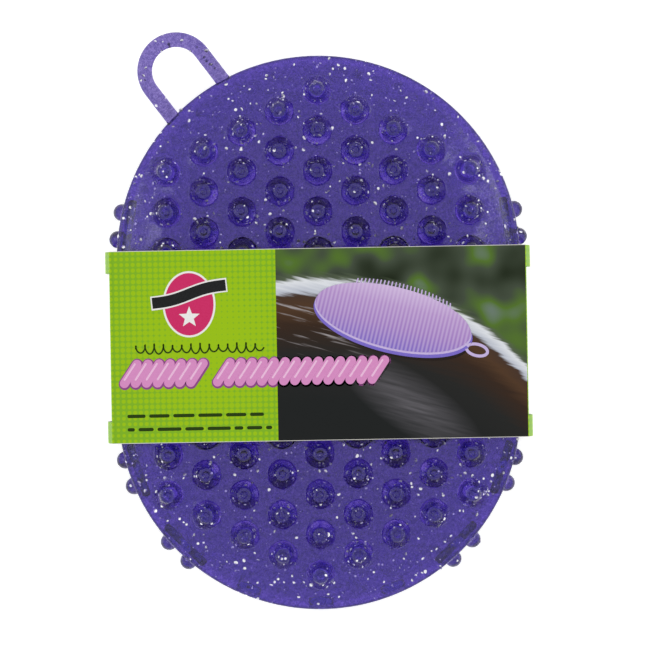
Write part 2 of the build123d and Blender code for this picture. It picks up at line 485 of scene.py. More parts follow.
# %% Cone pattern and section
COLUMN_PITCH = 11.36 * MM
ROW_PITCH = 12.11 * MM
CONE_MARGIN = 6.2 * MM
CONE_HEIGHT = nub_high.z - nub_low.z - SHELL_DEPTH
CONE_SIDES = 28
CONE_FLARE = 4.7 * MM
CONE_SECTION = [
    (4.70, 0.00), (4.38, 0.12), (4.18, 0.45), (4.04, 1.00), (3.60, 2.80), (3.08, 4.70), (2.58, 6.30),
    (2.36, 6.95), (2.06, 7.36), (1.68, 7.56), (1.34, 7.55), (1.08, 7.40), (0.94, 7.12), (0.70, 6.94),
    (0.35, 6.88),
]
SECTION_HEIGHT = 7.6
SHORTEST_CONE = 0.965
LEAN = 0.025
HUG_HEIGHT = 5.0
POCKET_INSETS = [POCKET_INSET + i * MM for i in (0.7, 1.5, 2.4, 3.6)]


def cone_places():
    for column in range(-4, 5):
        for row in range(-8, 8):
            x = column * COLUMN_PITCH
            y = (row + (0.5 if column % 2 else 0.0)) * ROW_PITCH
            if depth_inside(x, y) >= CONE_MARGIN:
                yield Vector((x, y))


def ring_on_surface(bm, centre, radius, sides, height):
    """A circle of vertices that lies on a face."""
    places = [(centre.x + radius * c, centre.y + radius * s) for c, s in circle(sides)]
    return [bm.verts.new((x, y, height(x, y))) for x, y in places]


def grow_cone(bm, base_ring, centre, height, chance):
    """The rest of a cone over the circle where it meets the plate."""
    foot = height(centre.x, centre.y)
    stretch = chance.uniform(SHORTEST_CONE, 1.0) * CONE_HEIGHT / SECTION_HEIGHT
    lean = Vector((chance.uniform(-LEAN, LEAN), chance.uniform(-LEAN, LEAN)))
    below = base_ring
    for radius, rise in CONE_SECTION[1:]:
        level = foot + rise * stretch
        middle = centre + lean * rise * MM
        hug = max(0.0, 1 - rise / HUG_HEIGHT)
        points = []
        for c, s in circle(CONE_SIDES):
            x, y = middle.x + radius * MM * c, middle.y + radius * MM * s
            points.append((x, y, hug * (height(x, y) + rise * stretch) + (1 - hug) * level))
        below = add_ring(bm, points, below)
    tip = bm.verts.new(sum((v.co for v in below), Vector()) / CONE_SIDES)
    for i in range(CONE_SIDES):
        bm.faces.new((below[i], below[(i + 1) % CONE_SIDES], tip))


# %% [markdown]
# ## A face, from its rings, caps and cones
# The same function makes both faces. The bristle face is the cone face turned over, without cones.


# %% Build a face
OUTER_GRID, INNER_GRID = 1.9 * MM, 3.0 * MM


def make_face_piece(name, rim_z, way, with_cones):
    """way is 1 for a face that looks up and -1 for one that looks down."""
    bm = bmesh.new()
    angles = list(outline_angles(OUTLINE_POINTS))
    rings = []
    for inset, rise in face_rings():
        points = [outline_point(angle, inset) for angle in angles]
        rings.append([bm.verts.new((p.x, p.y, rim_z + way * rise)) for p in points])
    for first, second in zip(rings, rings[1:]):
        bridge(bm, first, second)

    def outer(x, y):
        return rim_z + way * surface_height(depth_inside(x, y))

    def inner(x, y):
        return rim_z + way * pocket_height(depth_inside(x, y))

    circles = []
    if with_cones:
        for centre in cone_places():
            circles.append((centre, CONE_FLARE, ring_on_surface(bm, centre, CONE_FLARE, CONE_SIDES, outer)))
    fill_cap(bm, rings[-1], circles, outer, OUTER_GRID, CAP_INSETS)
    fill_cap(bm, rings[0], [], inner, INNER_GRID, POCKET_INSETS)
    chance = random.Random(7)
    for centre, _, ring in circles:
        grow_cone(bm, ring, centre, outer, chance)
    print(name, "cones:", len(circles))
    return finish_piece(bm, name, vinyl)


cone_face = make_face_piece("cone_face_vinyl", nub_low.z, 1, True)
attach(cone_face, "nub_side")
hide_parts("nub_face")

fine_face = make_face_piece("bristle_face_vinyl", bristle_high.z, -1, False)
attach(fine_face, "bristle_side")
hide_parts("bristle_face")

# %% [markdown]
# ## The bristles
# Close cross rows of short tapered pins cover the other face. Each pin is a small closed cone with a
# rounded end, rooted a little way into the plate. They are one mesh, because there are so many.

# %% Bristles
PIN_ROW_PITCH = 3.6 * MM
PIN_PITCH = 2.3 * MM
PIN_MARGIN = 5.6 * MM
PIN_LENGTH = bristle_high.z - bristle_low.z - SHELL_DEPTH
PIN_SECTION = [(0.62, -0.10), (0.52, 0.12), (0.42, 0.60), (0.30, 0.93), (0.16, 0.99)]
PIN_SIDES = 6
PIN_LEAN = 0.05


def make_bristles():
    bm = bmesh.new()
    rows = int(half_length / PIN_ROW_PITCH)
    columns = int(half_width / PIN_PITCH) + 1
    chance = random.Random(11)
    pins = 0
    for row in range(-rows, rows + 1):
        for column in range(-columns, columns + 1):
            x, y = (column + 0.5 * (row % 2)) * PIN_PITCH, row * PIN_ROW_PITCH
            depth = depth_inside(x, y)
            if depth < PIN_MARGIN:
                continue
            root = bristle_high.z - dome_height(depth)
            lean = Vector((chance.uniform(-PIN_LEAN, PIN_LEAN), chance.uniform(-PIN_LEAN, PIN_LEAN)))
            rings = []
            for radius, rise in PIN_SECTION:
                cx, cy = Vector((x, y)) + lean * rise * PIN_LENGTH
                z, r = root - rise * PIN_LENGTH, radius * MM
                rings.append([(cx + r * c, cy + r * s, z) for c, s in circle(PIN_SIDES)])
            loft(bm, rings)
            pins += 1
    print("bristles:", pins)
    return finish_piece(bm, "bristles_vinyl", vinyl)


bristles = make_bristles()
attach(bristles, "bristle_side")

# %% [markdown]
# ## The straps and the side nubs
# Straps along both sides, and three narrow ones between the fingertips, hold the faces apart. Most of
# the side straps carry a pair of round-ended nubs. A strap is a stack of rounded oblong rings that
# widen into the flanges above and below, and a nub is a turned shape laid on its side. On the real
# mitt the straps give when the faces are pressed together.

# %% Straps
STRAP_INSET = 1.4 * MM
STRAP_THICKNESS = 2.4 * MM
STRAP_LENGTH = 14.0 * MM
LINK_LENGTH = 5.0 * MM
STRAP_ROOT = 0.5 * MM
NUB_PITCH = 8.2 * MM
NUB_RADIUS = 2.6 * MM
NUB_REACH = 2.7 * MM
NUB_START = 0.2 * MM
NUBBED_BEARINGS = (28.6, -36.1, -56.9)
PLAIN_BEARINGS = (7.4, -15.6)
LINK_BEARINGS = (-74.1, -90.0, -105.9)
COS_OF_JOIN = 0.94
STRAP_LEVELS = 13
STRAP_FLARE = 2.4 * MM
STRAP_WAIST, STRAP_SWELL = 0.86, 0.3
STRAP_ROUND = 0.85 * MM
NUB_SIDES = 20
NUB_END_STEPS = 6


def normal_angle_at(bearing):
    """The normal's angle at the outline point seen from the middle at a bearing, found by halving."""
    target = radians(bearing)
    low, high = target - 0.6, target + 0.6
    for _ in range(40):
        middle = (low + high) / 2
        point = outline_point(middle)
        offset = (atan2(point.y, point.x) - target + pi) % (2 * pi) - pi
        if offset < 0:
            low = middle
        else:
            high = middle
    return (low + high) / 2


def outline_axes(angle):
    """Unit vectors that point out of the outline and along it."""
    outward = Vector((cos(angle), sin(angle)))
    return outward, Vector((-outward.y, outward.x))


def oblong(length, thickness, corner, steps=4):
    """Points of a rounded oblong, thickness along x and length along y."""
    points = []
    for sx, sy, start in ((1, 1, 0), (-1, 1, pi / 2), (-1, -1, pi), (1, -1, 3 * pi / 2)):
        for i in range(steps + 1):
            turn = start + pi / 2 * i / steps
            points.append(Vector((
                sx * (thickness / 2 - corner) + corner * cos(turn),
                sy * (length / 2 - corner) + corner * sin(turn),
            )))
    return points


def add_strap(bm, bearing, length, bend_radius):
    """A stack of rounded oblongs that follows the outline's bend and widens at both ends."""
    angle = normal_angle_at(bearing)
    origin = outline_point(angle, STRAP_INSET + STRAP_THICKNESS / 2)
    outward, along = outline_axes(angle)
    low, high = bristle_high.z - STRAP_ROOT, nub_low.z + STRAP_ROOT
    rings = []
    for level in range(STRAP_LEVELS):
        share = level / (STRAP_LEVELS - 1)
        flare = abs(2 * share - 1) ** 5
        thickness = STRAP_THICKNESS * (STRAP_WAIST + STRAP_SWELL * flare)
        ring = []
        for p in oblong(length + STRAP_FLARE * flare, thickness, STRAP_ROUND):
            curve = -p.y ** 2 / (2 * bend_radius)
            place = origin + outward * (p.x + curve) + along * p.y
            ring.append((place.x, place.y, low + (high - low) * share))
        rings.append(ring)
    loft(bm, rings)


def add_side_nub(bm, bearing, shift, z):
    """A round-ended stub that points out from a strap."""
    angle = normal_angle_at(bearing)
    outward, along = outline_axes(angle)
    base = outline_point(angle, STRAP_INSET + STRAP_THICKNESS) + along * shift
    base -= outward * shift ** 2 / (2 * end_radius)
    reach = STRAP_INSET + STRAP_THICKNESS + NUB_REACH
    section = [(1.0, NUB_START), (1.0, reach - NUB_RADIUS)]
    for i in range(1, NUB_END_STEPS + 1):
        turn = pi / 2 * i / (NUB_END_STEPS + 0.4)
        section.append((cos(turn), reach - NUB_RADIUS + NUB_RADIUS * sin(turn)))
    rings = []
    for share, run in section:
        ring = []
        for c, s in circle(NUB_SIDES):
            place = base + outward * run + along * (NUB_RADIUS * share * c)
            ring.append((place.x, place.y, z + NUB_RADIUS * share * s))
        rings.append(ring)
    loft(bm, rings)


def make_straps(name, node, bearings, length):
    bm = bmesh.new()
    for bearing in bearings:
        on_end = abs(cos(radians(bearing))) < COS_OF_JOIN
        add_strap(bm, bearing, length, end_radius if on_end else side_radius)
    # The straps take the lighter copy of the vinyl, which is painted light.
    piece = finish_piece(bm, name, strap_vinyl_painted_light)
    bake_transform(piece)
    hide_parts(node)
    return piece


def make_side_nubs(name, bearings):
    bm = bmesh.new()
    for bearing in bearings:
        for side in (-1, 1):
            add_side_nub(bm, bearing, side * NUB_PITCH / 2, (bristle_high.z + nub_low.z) / 2)
    piece = finish_piece(bm, name, vinyl)
    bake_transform(piece)
    return piece


right = NUBBED_BEARINGS + PLAIN_BEARINGS
left = [180 - bearing for bearing in right]
straps = [
    make_straps("right_straps_vinyl", "right_webs", right, STRAP_LENGTH),
    make_straps("left_straps_vinyl", "left_webs", left, STRAP_LENGTH),
    make_straps("finger_links_vinyl", "finger_links", LINK_BEARINGS, LINK_LENGTH),
    make_side_nubs("right_side_nubs_vinyl", NUBBED_BEARINGS),
    make_side_nubs("left_side_nubs_vinyl", [180 - bearing for bearing in NUBBED_BEARINGS]),
]

# %% [markdown]
# ## The hanging loop
# A flat U of the same vinyl, moulded on to the upper flange. A section swept along a path does it:
# two legs and half a circle, with rounded edges. The legs' ends follow the outline, a little inside
# the flange, so the joint shows neither a gap nor a doubled edge.

# %% Hanging loop
LOOP_PLACE = radians(126.9)
LOOP_LEAN = radians(127.0)
LOOP_LEG = 9.8 * MM
LOOP_INNER = 7.2 * MM
LOOP_BAND = 4.5 * MM
LOOP_INTO_FLANGE = 0.8 * MM
LOOP_START = -1.0 * MM
LOOP_ROUND = 0.95 * MM
LOOP_SLACK = 0.12 * MM
LEG_STEPS, ARC_STEPS = 8, 36


def loop_path():
    """Points and tangents of the U, in its own frame: x runs out of the mitt."""
    radius = LOOP_INNER + LOOP_BAND / 2
    leg = [LOOP_START + (LOOP_LEG - LOOP_START) * i / LEG_STEPS for i in range(LEG_STEPS)]
    path = [(Vector((x, -radius)), Vector((1, 0))) for x in leg]
    for i in range(ARC_STEPS + 1):
        turn = -pi / 2 + pi * i / ARC_STEPS
        point = Vector((LOOP_LEG, 0)) + radius * Vector((cos(turn), sin(turn)))
        path.append((point, Vector((-sin(turn), cos(turn)))))
    path += [(Vector((x, radius)), Vector((-1, 0))) for x in reversed(leg)]
    return path


loop_low, loop_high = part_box("hang_loop")
loop_z = (loop_low.z + loop_high.z) / 2
loop_root = outline_point(LOOP_PLACE)
loop_out, loop_across = outline_axes(LOOP_LEAN)


def make_loop():
    thickness = loop_high.z - loop_low.z - LOOP_SLACK
    bm = bmesh.new()
    rings = []
    path = loop_path()
    for i, (point, tangent) in enumerate(path):
        side = Vector((tangent.y, -tangent.x))
        ring = []
        for p in oblong(thickness, LOOP_BAND, LOOP_ROUND):
            flat = point + side * p.x
            place = loop_root + loop_out * flat.x + loop_across * flat.y
            if i in (0, len(path) - 1):
                for _ in range(6):
                    place += loop_out * (depth_inside(*place) - LOOP_INTO_FLANGE)
            ring.append((place.x, place.y, loop_z + p.y))
        rings.append(ring)
    loft(bm, rings)
    # The loop takes the darker copy of the vinyl, which is painted shade.
    piece = finish_piece(bm, "hanging_loop_vinyl", loop_vinyl_painted_shade)
    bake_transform(piece)
    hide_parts("hang_loop")
    return piece


hanging_loop = make_loop()

# %% [markdown]
# ## Glitter on the faces, the straps, the side nubs and the loop
# Flakes are scattered by area over the outer surfaces of the finished pieces. Each is a closed
# hexagonal plate, tilted at random and half sunk into the surface. Most are small and a few are over
# a millimetre wide, which is coarser than real glitter, or they would be lost at this distance. A
# flake piece follows the same body as the vinyl that it sits in. Widths are least, most and usual.

# %% Scatter glitter
FLAKE_THICKNESS = 0.05 * MM
FLAKE_TILT = 0.42
FLAKE_LIFT = 0.02 * MM
SLIMMEST_FLAKE = 0.75
STEEPEST_FACE = 0.12


def add_flake(bm, place, normal, width, chance):
    """A closed hexagonal plate at a place, near a surface with this normal."""
    tilt = Vector([chance.gauss(0, FLAKE_TILT) for _ in range(3)])
    facing = (normal + tilt).normalized()
    turn = facing.to_track_quat("Z", "Y").to_matrix() @ Matrix.Rotation(chance.uniform(0, pi), 3, "Z")
    slim = chance.uniform(SLIMMEST_FLAKE, 1.0)
    rings = []
    for z in (-FLAKE_THICKNESS / 2, FLAKE_THICKNESS / 2):
        corners = [Vector((c * width / 2, s * width / 2 * slim, z)) for c, s in circle(6)]
        rings.append([place + turn @ corner for corner in corners])
    loft(bm, rings)


def scatter_glitter(pieces, name, foil, count, widths, seed, facing=None):
    """Flakes over the faces of some pieces whose normals have a positive part along facing."""
    chance = random.Random(seed)
    faces, areas = [], []
    for piece in pieces:
        mesh = piece.data
        for face in mesh.polygons:
            if facing is None or face.normal.dot(facing) > STEEPEST_FACE:
                faces.append([mesh.vertices[i].co for i in face.vertices] + [face.normal])
                areas.append(face.area)
    bm = bmesh.new()
    for corners in chance.choices(faces, weights=areas, k=count):
        *corners, normal = corners
        shares = [chance.random() + 0.05 for _ in corners]
        place = sum((c * share for c, share in zip(corners, shares)), Vector()) / sum(shares)
        width = chance.triangular(*widths) * MM
        add_flake(bm, place + normal * FLAKE_LIFT, normal, width, chance)
    return finish_piece(bm, name, foil, smooth=False)


BRIGHT_WIDTHS = (0.4, 1.5, 0.8)
DEEP_WIDTHS = (0.25, 0.9, 0.4)
UP, DOWN = Vector((0, 0, 1)), Vector((0, 0, -1))
flake_sets = [
    ("bright_glitter_cone_face", flake_foil, 1300, BRIGHT_WIDTHS, [cone_face], UP, "nub_side"),
    ("deep_glitter_cone_face", deep_foil, 2200, DEEP_WIDTHS, [cone_face], UP, "nub_side"),
    ("bright_glitter_bristle_face", flake_foil, 420, BRIGHT_WIDTHS, [fine_face], DOWN, "bristle_side"),
    ("deep_glitter_bristle_face", deep_foil, 900, DEEP_WIDTHS, [fine_face], DOWN, "bristle_side"),
]
for seed, (name, foil, count, widths, pieces, facing, body) in enumerate(flake_sets):
    flakes = scatter_glitter(pieces, name, foil, count, widths, 100 + seed, facing)
    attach(flakes, body)

loop_flakes = scatter_glitter([hanging_loop], "glitter_loop", flake_foil, 26, BRIGHT_WIDTHS, 200)
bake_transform(loop_flakes)
strap_flakes = scatter_glitter(straps, "glitter_straps", flake_foil, 150, BRIGHT_WIDTHS, 201)
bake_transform(strap_flakes)

# %% [markdown]
# ## The card sleeve
# The sleeve is one strip of white board, printed on one side, creased at four folds and glued to
# itself underneath. Its sides are die-cut away except for a strip at each end, and bow out a little.
# A box with holes would have sharp, weightless corners. Here the strip is a path seen from its end:
# each point is pushed in by the board's thickness, and cells of the grid are left out for windows.

# %% Path of the strip
_, front_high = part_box("sleeve_front_panel")
BOARD = 0.45 * MM
SLEEVE_HALF_WIDTH = 62.2 * MM
SLEEVE_LENGTH = 57.5 * MM
SLEEVE_PLACE = Vector((0, -3.5 * MM, 0))
SLEEVE_TURN = radians(0.5)
SLEEVE_BULGE = 1.6 * MM
STRIP_LENGTH = 6.6 * MM
LAP_START, LAP_END = 31.0 * MM, 17.0 * MM
CREASE_ROUND = 0.7 * MM
RAW_EDGE = 0.16 * MM
EDGE_WEAR = 0.1 * MM
top_z = front_high.z


def front_sag(u):
    """How far the front panel falls towards its folds."""
    return 0.25 * MM * (abs(u) / SLEEVE_HALF_WIDTH) ** 8


def straight(start, end, step=3.0 * MM):
    count = max(1, ceil((end - start).length / step))
    return [start.lerp(end, i / count) for i in range(count)]


def heading_at(path, i):
    """The direction of a path at one of its points."""
    return (path[min(i + 1, len(path) - 1)] - path[max(i - 1, 0)]).normalized()


def strip_path():
    """Points of the printed side, as (x, z) from the lap's outer end round to its inner end."""
    half, crease = SLEEVE_HALF_WIDTH, CREASE_ROUND

    def bowed(share, side):
        return Vector((side * (half + SLEEVE_BULGE * (1 - (2 * share - 1) ** 2)), top_z * share))

    def fold(before, corner, after):
        return [before.lerp(corner, t).lerp(corner.lerp(after, t), t) for t in (0, 0.25, 0.5, 0.75)]

    edge_share = crease / top_z
    shares = [edge_share + (1 - 2 * edge_share) * i / 12 for i in range(13)]
    path, tags = [], []

    def extend(points, tag):
        path.extend(points)
        tags.extend([tag] * len(points))

    extend(straight(Vector((LAP_START, 0)), Vector((crease - half, 0))), "back")
    extend(fold(Vector((crease - half, 0)), Vector((-half, 0)), bowed(edge_share, -1)), "fold")
    extend([bowed(share, -1) for share in shares[:-1]], "side")
    extend(fold(bowed(shares[-1], -1), Vector((-half, top_z)), Vector((crease - half, top_z))), "fold")
    extend(straight(Vector((crease - half, top_z)), Vector((half - crease, top_z))), "front")
    extend(fold(Vector((half - crease, top_z)), Vector((half, top_z)), bowed(shares[-1], 1)), "fold")
    extend([bowed(share, 1) for share in reversed(shares[1:])], "side")
    extend(fold(bowed(edge_share, 1), Vector((half, 0)), Vector((half - crease, 0))), "fold")
    extend(straight(Vector((half - crease, 0)), Vector((LAP_START + 5 * MM, 0))), "back")
    lap_z = BOARD + 0.02 * MM
    extend(straight(Vector((LAP_START + 5 * MM, 0)), Vector((LAP_START + 1 * MM, lap_z))), "back")
    extend(straight(Vector((LAP_START + 1 * MM, lap_z)), Vector((LAP_END, lap_z))), "back")
    extend([Vector((LAP_END, lap_z))], "back")
    for i, tag in enumerate(tags):
        if tag == "front":
            path[i].y -= front_sag(path[i].x)
    return path, tags


# %% [markdown]
# ## Board, ink and varnish
# Carton board is white pulp with a clay coat. Offset ink soaks in without any thickness, and a matt
# water-based varnish over it hardly mirrors the tent, so the colours stay full even seen edge-on. The
# green ground is a halftone: round dots of a lighter green on a 1.7 mm grid, which swell towards the
# middle of the panel until they nearly touch. The pulp's grain is drawn coarser than it really is.

# %% Card materials
PAPER_GRAIN = 0.35 * MM
HALFTONE_PITCH = 1.7 * MM
HALFTONE_CENTRE = (-33 * MM, 3 * MM)
HALFTONE_REACH = 38 * MM
VARNISH_ROUGHNESS, MATT_VARNISH = 0.38, 0.02
PULP_ROUGHNESS = 0.8
DOT_NEAR, DOT_FAR, DOT_BLUR = 0.69, 0.3, 0.08


def add_board_surface(material, colour, roughness=VARNISH_ROUGHNESS):
    """Ends a card material: its colour, the paper's grain as relief, and varnish."""
    place = add(material, "TexCoord").outputs["Object"]
    grain = add(material, "TexNoise", {"Vector": place, "Scale": 1 / PAPER_GRAIN, "Detail": 2.0})
    relief = add(material, "Bump", {"Height": grain, "Strength": 0.25, "Distance": 0.03 * MM})
    shader = add(material, "BsdfPrincipled", {
        "Base Color": colour, "Normal": relief, "Roughness": roughness, "IOR": 1.5,
        "Specular IOR Level": MATT_VARNISH,
    })
    add(material, "OutputMaterial", {"Surface": shader})


raw_board = new_material("uncoated_white_carton_board")
pulp_place = add(raw_board, "TexCoord").outputs["Object"]
pulp = add(raw_board, "TexNoise", {"Vector": pulp_place, "Scale": 1 / PAPER_GRAIN, "Detail": 4.0})
pulp_tone = add(raw_board, "ValToRGB", {"Fac": pulp})
set_ramp(pulp_tone, [(0.3, "#D9D6CC"), (0.7, "#ECEAE2")])
add_board_surface(raw_board, pulp_tone, PULP_ROUGHNESS)

green_ink = new_material("green_halftone_ink_on_carton_board")
ink_node = partial(add, green_ink)
card_place = ink_node("TexCoord").outputs["Object"]
dots = ink_node("VectorMath", {0: card_place, "Scale": 1 / HALFTONE_PITCH}, operation="SCALE")
cell = ink_node("VectorMath", {0: dots}, operation="FRACTION")
offset = ink_node("VectorMath", {0: cell, 1: (0.5, 0.5, 0)}, operation="SUBTRACT")
flat = ink_node("VectorMath", {0: offset, 1: (1, 1, 0)}, operation="MULTIPLY")
from_dot = ink_node("VectorMath", {0: flat}, operation="LENGTH")
away = ink_node("VectorMath", {0: card_place, 1: (*HALFTONE_CENTRE, top_z)}, operation="DISTANCE")
dot_size = ink_node("MapRange", {
    "Value": away.outputs["Value"], "From Min": 0.0, "From Max": HALFTONE_REACH,
    "To Min": DOT_NEAR, "To Max": DOT_FAR,
})
inside_dot = ink_node("Math", {0: dot_size, 1: from_dot.outputs["Value"]}, operation="SUBTRACT")
dot_edge = ink_node("MapRange", {"Value": inside_dot, "From Min": -DOT_BLUR, "From Max": DOT_BLUR})
ink = ink_node("ValToRGB", {"Fac": dot_edge})
set_ramp(ink, [(0.0, "#82B52B"), (1.0, "#9CC41C")])
add_board_surface(green_ink, ink)

# %% [markdown]
# ## Folding the strip
# The grid of the strip runs along its path and across its length. Both edges have a narrow row where
# the white board shows, because a die never cuts ink and board off quite square.


# %% Build the sleeve
def make_sleeve():
    path, tags = strip_path()
    half = SLEEVE_LENGTH / 2
    window = half - STRIP_LENGTH
    rows = [-half, RAW_EDGE - half, -(half + window) / 2, -window]
    rows += [-window / 2, 0.0, window / 2, window, (half + window) / 2, half - RAW_EDGE, half]
    bm = bmesh.new()
    outer, inner = [], []
    for i, point in enumerate(path):
        heading = heading_at(path, i)
        inward = Vector((heading.y, -heading.x))
        outer.append([])
        inner.append([])
        for row, y in enumerate(rows):
            worn = EDGE_WEAR if row in (0, len(rows) - 1) else 0.0
            printed = point + inward * worn
            plain = point + inward * BOARD
            outer[-1].append(bm.verts.new((printed.x, y, printed.y)))
            inner[-1].append(bm.verts.new((plain.x, y, plain.y)))

    columns, lines = len(path) - 1, len(rows) - 1

    def kept(i, j):
        if not (0 <= i < columns and 0 <= j < lines):
            return False
        return tags[i] != "side" or abs(rows[j] + rows[j + 1]) / 2 > window

    for i in range(columns):
        for j in range(lines):
            if not kept(i, j):
                continue
            face = bm.faces.new((outer[i][j], outer[i + 1][j], outer[i + 1][j + 1], outer[i][j + 1]))
            face.material_index = 1 if j in (0, lines - 1) else 0
            face = bm.faces.new((inner[i][j], inner[i][j + 1], inner[i + 1][j + 1], inner[i + 1][j]))
            face.material_index = 1
            for near, ends in (
                ((i - 1, j), ((i, j), (i, j + 1))), ((i + 1, j), ((i + 1, j), (i + 1, j + 1))),
                ((i, j - 1), ((i, j), (i + 1, j))), ((i, j + 1), ((i, j + 1), (i + 1, j + 1))),
            ):
                if not kept(*near):
                    (a, b), (c, d) = ends
                    face = bm.faces.new((outer[a][b], outer[c][d], inner[c][d], inner[a][b]))
                    face.material_index = 1
    sleeve = finish_piece(bm, "card_sleeve_strip", green_ink, smooth=False)
    sleeve.data.materials.append(raw_board)
    return sleeve


def place_on_sleeve(piece):
    piece.location = SLEEVE_PLACE
    piece.rotation_euler = (0, 0, SLEEVE_TURN)
    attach(piece, "card_sleeve")


sleeve = make_sleeve()
place_on_sleeve(sleeve)
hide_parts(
    "sleeve_front_panel", "sleeve_back_panel", "sleeve_left_strips", "sleeve_right_strips",
    "sleeve_glue_flap",
)

# %% [markdown]
# ## Printed shapes
# Everything printed over the ground is an outline cut from a film of ink. A film gets a real but tiny
# thickness, so that it is a closed piece and lies clear of the card. Films that overlap are lifted by
# a few hundredths of a millimetre each, in the order in which they were printed.


# %% Helpers for ink films
FILM = 0.03 * MM
FILM_SHARE = 0.8


def film_point(u, v, level):
    """A point over the front panel, from card millimetres and a level counted in films."""
    return u * MM, v * MM, top_z - front_sag(u * MM) + level * FILM


def add_film(bm, outline, layer):
    """A flat closed film; outline is in card millimetres and layer counts up from the card."""
    loft(bm, [[film_point(u, v, level) for u, v in outline] for level in (layer - FILM_SHARE, layer)])


def oval_outline(centre, across, high, turn=0.0, count=72):
    turned = Matrix.Rotation(turn, 2)
    return [Vector(centre) + turned @ Vector((c * across / 2, s * high / 2)) for c, s in circle(count)]


def pill_outline(centre, length, width, turn=0.0, steps=10):
    """A bar with round ends; its length runs along turn."""
    points = []
    for end in (1, -1):
        for i in range(steps + 1):
            angle = pi * i / steps - pi / 2 + (0 if end > 0 else pi)
            p = Vector((end * (length - width) / 2 + cos(angle) * width / 2, sin(angle) * width / 2))
            points.append(Vector(centre) + Matrix.Rotation(turn, 2) @ p)
    return points


def print_line(name, material, path, width, layer):
    """A closed film along a line of points, swept as a strip so that it may curl back."""
    bm = bmesh.new()
    rings = []
    for i, point in enumerate(path):
        heading = heading_at(path, i)
        side = Vector((-heading.y, heading.x)) * width / 2
        foot = layer - FILM_SHARE
        corners = ((side, foot), (side, layer), (-side, layer), (-side, foot))
        rings.append([film_point(*(point + shift), level) for shift, level in corners])
    loft(bm, rings)
    place_on_sleeve(finish_piece(bm, name, material, smooth=False))


def print_films(name, material, films):
    """One piece from films given as (outline, layer)."""
    bm = bmesh.new()
    for outline, layer in films:
        add_film(bm, outline, layer)
    place_on_sleeve(finish_piece(bm, name, material, smooth=False))


def make_ink(name, hex_colour, shade_colour):
    """A flat offset ink, mottled a little between two near colours by the board's grain."""
    material = new_material(name)
    place = add(material, "TexCoord").outputs["Object"]
    mottle = add(material, "TexNoise", {"Vector": place, "Scale": 1 / PAPER_GRAIN, "Detail": 3.0})
    colour = add(material, "ValToRGB", {"Fac": mottle})
    set_ramp(colour, [(0.3, shade_colour), (0.7, hex_colour)])
    add_board_surface(material, colour)
    return material


# %% [markdown]
# ## Badge, rope and rules
# The card carries a plain oval badge with a star, a ribbon across it, a pink rope low on the panel, a
# thin curl over the rope, and bars that stand in for two lines of small print. All of these are
# generic. The rope's strands are slanted bars: dark below, pink above, and a light streak on each,
# which is how flat ink makes a shape look round.

# %% Print the ornaments
badge_ink = make_ink("crimson_offset_ink", "#D2366C", "#CB3064")
white_ink = make_ink("white_offset_ink", "#F4F2F0", "#EAE8E6")
black_ink = make_ink("black_offset_ink", "#2A2B2C", "#222324")
script_ink = make_ink("dark_green_offset_ink", "#2F4418", "#283C14")
rope_ink = make_ink("pink_offset_ink", "#DD95C8", "#D78CC2")
rope_shade = make_ink("plum_offset_ink", "#96508E", "#8C4884")
rope_light = make_ink("pale_pink_offset_ink", "#F0C4E2", "#EBBADC")

BADGE = Vector((-38.6, 12.6))
BORDER_SIZE, FIELD_SIZE = (15.8, 19.8), (14.6, 18.6)
print_films("badge_border", white_ink, [(oval_outline(BADGE, *BORDER_SIZE), 1)])
print_films("badge_field", badge_ink, [(oval_outline(BADGE, *FIELD_SIZE), 2)])

STAR_PLACE, STAR_RADIUS, STAR_WAIST = BADGE + Vector((0, -3.9)), 3.3, 0.42
star = []
for i in range(10):
    reach = STAR_RADIUS if i % 2 == 0 else STAR_RADIUS * STAR_WAIST
    angle = pi / 2 + pi * i / 5
    star.append(STAR_PLACE + reach * Vector((cos(angle), sin(angle))))
print_films("badge_star", white_ink, [(star, 3)])

BAND_PLACE, BAND_TURN, BAND_WAVE = BADGE + Vector((0, 3.0)), radians(13), 0.5
for name, band_ink, length, width, layer in (
    ("badge_band_border", white_ink, 23.4, 4.2, 4), ("badge_band", black_ink, 22.6, 3.3, 5),
):
    shares = [i / 30 - 0.5 for i in range(31)]
    wave = [Vector((share * length, BAND_WAVE * sin(2 * pi * share))) for share in shares]
    band = [BAND_PLACE + Matrix.Rotation(BAND_TURN, 2) @ p for p in wave]
    print_line(name, band_ink, band, width, layer)

ROPE_MIDDLE, ROPE_PITCH, STRAND_TURN = -7.9, 3.3, radians(56)
STRAND_LENGTH, STRAND_WIDTH, SHADE_RIM = 9.6, 2.75, 0.9
STREAK_LENGTH, STREAK_WIDTH = 6.2, 0.6
SHADE_SHIFT, STREAK_SHIFT = Vector((0.1, -0.15)), Matrix.Rotation(STRAND_TURN, 2) @ Vector((0.3, 0.55))
ROPES = ((-56.4, 7), (-28.6, 15))
rope_films, rope_backs, rope_streaks = [], [], []
for first, count in ROPES:
    for i in range(count):
        centre = Vector((first + i * ROPE_PITCH, ROPE_MIDDLE))
        for films, shift, length, width, layer in (
            (rope_backs, SHADE_SHIFT, STRAND_LENGTH + SHADE_RIM, STRAND_WIDTH + SHADE_RIM, 1),
            (rope_films, Vector((0, 0)), STRAND_LENGTH, STRAND_WIDTH, 2),
            (rope_streaks, STREAK_SHIFT, STREAK_LENGTH, STREAK_WIDTH, 3),
        ):
            films.append((pill_outline(centre + shift, length, width, STRAND_TURN), layer))
print_films("rope_strands_shade", rope_shade, rope_backs)
print_films("rope_strands", rope_ink, rope_films)
print_films("rope_strands_light", rope_light, rope_streaks)

